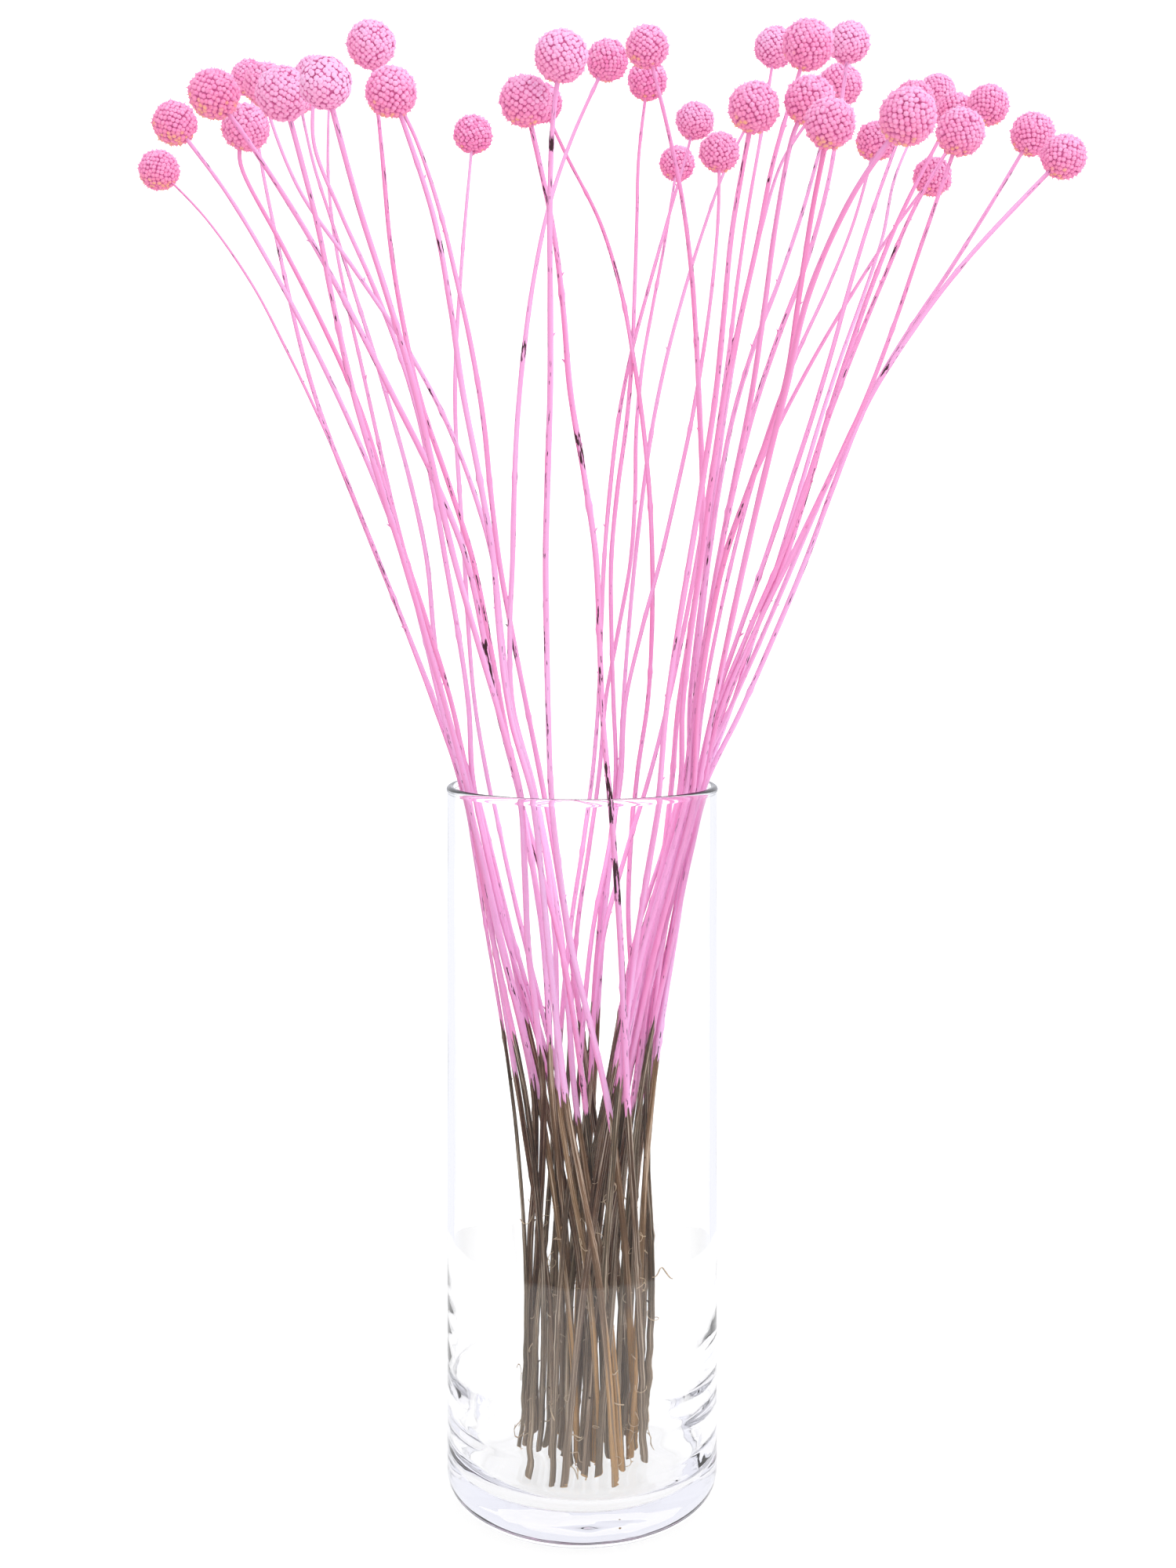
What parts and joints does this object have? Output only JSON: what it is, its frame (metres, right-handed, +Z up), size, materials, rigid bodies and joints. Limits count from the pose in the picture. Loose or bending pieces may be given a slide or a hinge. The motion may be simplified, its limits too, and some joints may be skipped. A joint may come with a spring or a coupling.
{
  "type": "vase of dried billy buttons",
  "caption": "Bunch of dried billy buttons with round pink heads on long bare stems, fanned out in a tall clear glass cylinder vase.",
  "frame": {"origin": "middle of the vase's foot, on the surface it stands on", "axes": "+Z up along the vase's axis, -Y towards the front of the arrangement, +X to its right"},
  "size_m": [0.439, 0.3464, 0.6784],
  "materials": {
    "vase_glass": "clear, fire-polished glass",
    "painted_flower": "matt chalky pink spray paint over dried florets and stems, bare brown stems below"
  },
  "bodies": {
    "root": {"vase": "vase_glass", "billy_button_01": "painted_flower", "billy_button_02": "painted_flower", "billy_button_03": "painted_flower", "billy_button_04": "painted_flower", "billy_button_05": "painted_flower", "billy_button_06": "painted_flower", "billy_button_07": "painted_flower", "billy_button_08": "painted_flower", "billy_button_09": "painted_flower", "billy_button_10": "painted_flower", "billy_button_11": "painted_flower", "billy_button_12": "painted_flower", "billy_button_13": "painted_flower", "billy_button_14": "painted_flower", "billy_button_15": "painted_flower", "billy_button_16": "painted_flower", "billy_button_17": "painted_flower", "billy_button_18": "painted_flower", "billy_button_19": "painted_flower", "billy_button_20": "painted_flower", "billy_button_21": "painted_flower", "billy_button_22": "painted_flower", "billy_button_23": "painted_flower", "billy_button_24": "painted_flower", "billy_button_25": "painted_flower", "billy_button_26": "painted_flower", "billy_button_27": "painted_flower", "billy_button_28": "painted_flower", "billy_button_29": "painted_flower", "billy_button_30": "painted_flower", "billy_button_31": "painted_flower", "billy_button_32": "painted_flower", "billy_button_33": "painted_flower", "billy_button_34": "painted_flower", "billy_button_35": "painted_flower", "billy_button_36": "painted_flower", "billy_button_37": "painted_flower", "billy_button_38": "painted_flower", "billy_button_39": "painted_flower", "billy_button_40": "painted_flower", "billy_button_41": "painted_flower", "billy_button_42": "painted_flower", "billy_button_43": "painted_flower"}
  },
  "joints": []
}
